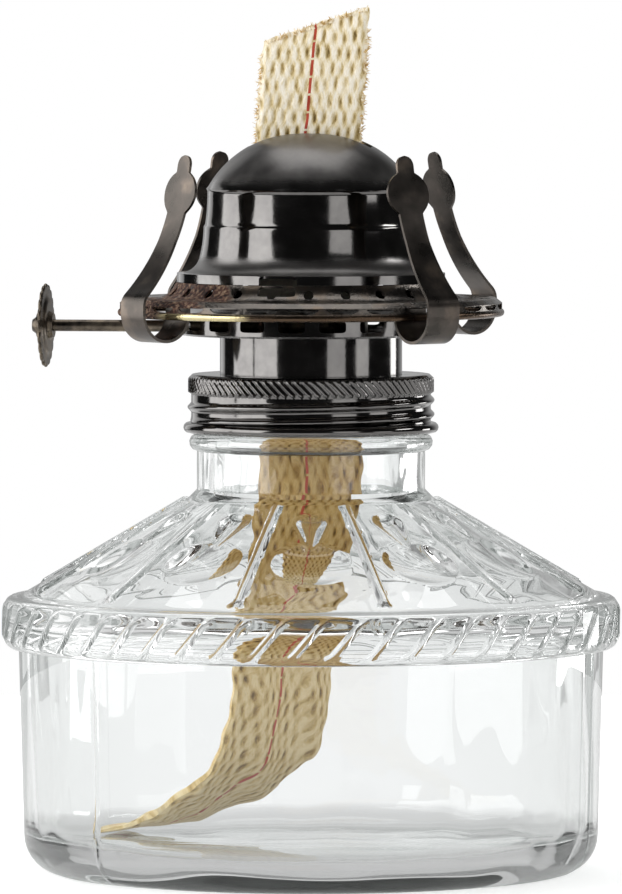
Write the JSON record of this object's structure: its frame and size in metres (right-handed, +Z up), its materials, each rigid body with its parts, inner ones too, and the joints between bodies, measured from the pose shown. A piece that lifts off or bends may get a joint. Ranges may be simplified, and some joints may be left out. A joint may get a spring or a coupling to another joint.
{
  "type": "oil lamp",
  "caption": "Table oil lamp: round clear glass font, screw collar, flat-wick burner with thumb wheel, lift-off dome and sprung chimney prongs.",
  "frame": {"origin": "centre of the ring that the glass font stands on, at table height", "axes": "+Z up along the lamp's axis; +X along the width of the wick and the wheel shaft, whose thumb wheel is at -X"},
  "size_m": [0.127, 0.127, 0.1777],
  "materials": {
    "glass": "clear pressed glass",
    "black_metal": "gloss black over brass sheet",
    "gallery_metal": "worn black with bare edges and rust",
    "spring_steel": "dark worn steel",
    "wheel_steel": "dull worn steel",
    "tube_steel": "tinned steel",
    "cotton": "woven cream cotton",
    "gasket_rubber": "matt"
  },
  "bodies": {
    "font": {"glass_font": "glass"},
    "collar": {"screw_collar": "black_metal", "collar_gasket": "gasket_rubber"},
    "burner": {"burner_base": "black_metal", "wick_tube": "tube_steel", "vent_tube": "tube_steel", "air_pan": "black_metal", "gallery": "gallery_metal", "shaft_bushing": "tube_steel", "shaft_bracket": "tube_steel", "prong_rivets": "spring_steel", "wick_tail": "cotton"},
    "knob": {"knob_shaft": "black_metal", "thumb_wheel": "wheel_steel", "star_wheel_left": "wheel_steel", "star_wheel_right": "wheel_steel"},
    "wick": {"wick": "cotton"},
    "cap": {"deflector_dome": "black_metal"},
    "prong_1": {"prong_1": "spring_steel"},
    "prong_2": {"prong_2": "spring_steel"},
    "prong_3": {"prong_3": "spring_steel"},
    "prong_4": {"prong_4": "spring_steel"}
  },
  "joints": [
    {"name": "collar_turn", "type": "hinge", "parent": "font", "child": "collar", "pos_m": [0, 0, 0.096], "axis": [0, 0, 1], "range_deg": [0, 450]},
    {"name": "burner_lift", "type": "slide", "parent": "collar", "child": "burner", "axis": [0, 0, 1], "range_m": [0, 0.115]},
    {"name": "knob_turn", "type": "hinge", "parent": "burner", "child": "knob", "pos_m": [0, -0.0052, 0.1122], "axis": [1, 0, 0], "range_deg": [-478, 160]},
    {"name": "wick_raise", "type": "slide", "parent": "burner", "child": "wick", "axis": [0, 0, 1], "range_m": [-0.03, 0.01], "deforming": ["wick_tail"]},
    {"name": "cap_lift", "type": "slide", "parent": "burner", "child": "cap", "axis": [0, 0, 1], "range_m": [0, 0.032]},
    {"name": "prong_1_flex", "type": "hinge", "parent": "burner", "child": "prong_1", "pos_m": [0.02376, 0.02376, 0.1172], "axis": [-0.7071, 0.7071, 0], "range_deg": [-2, 10], "stiffness_Nm_per_rad": 0.04},
    {"name": "prong_2_flex", "type": "hinge", "parent": "burner", "child": "prong_2", "pos_m": [-0.02376, 0.02376, 0.1172], "axis": [-0.7071, -0.7071, 0], "range_deg": [-2, 10], "stiffness_Nm_per_rad": 0.04},
    {"name": "prong_3_flex", "type": "hinge", "parent": "burner", "child": "prong_3", "pos_m": [-0.02376, -0.02376, 0.1172], "axis": [0.7071, -0.7071, 0], "range_deg": [-2, 10], "stiffness_Nm_per_rad": 0.04},
    {"name": "prong_4_flex", "type": "hinge", "parent": "burner", "child": "prong_4", "pos_m": [0.02376, -0.02376, 0.1172], "axis": [0.7071, 0.7071, 0], "range_deg": [-2, 10], "stiffness_Nm_per_rad": 0.04}
  ],
  "couplings": [
    {"joint": "knob_turn", "follows": "wick_raise", "rad_per_m": 277.78}
  ]
}
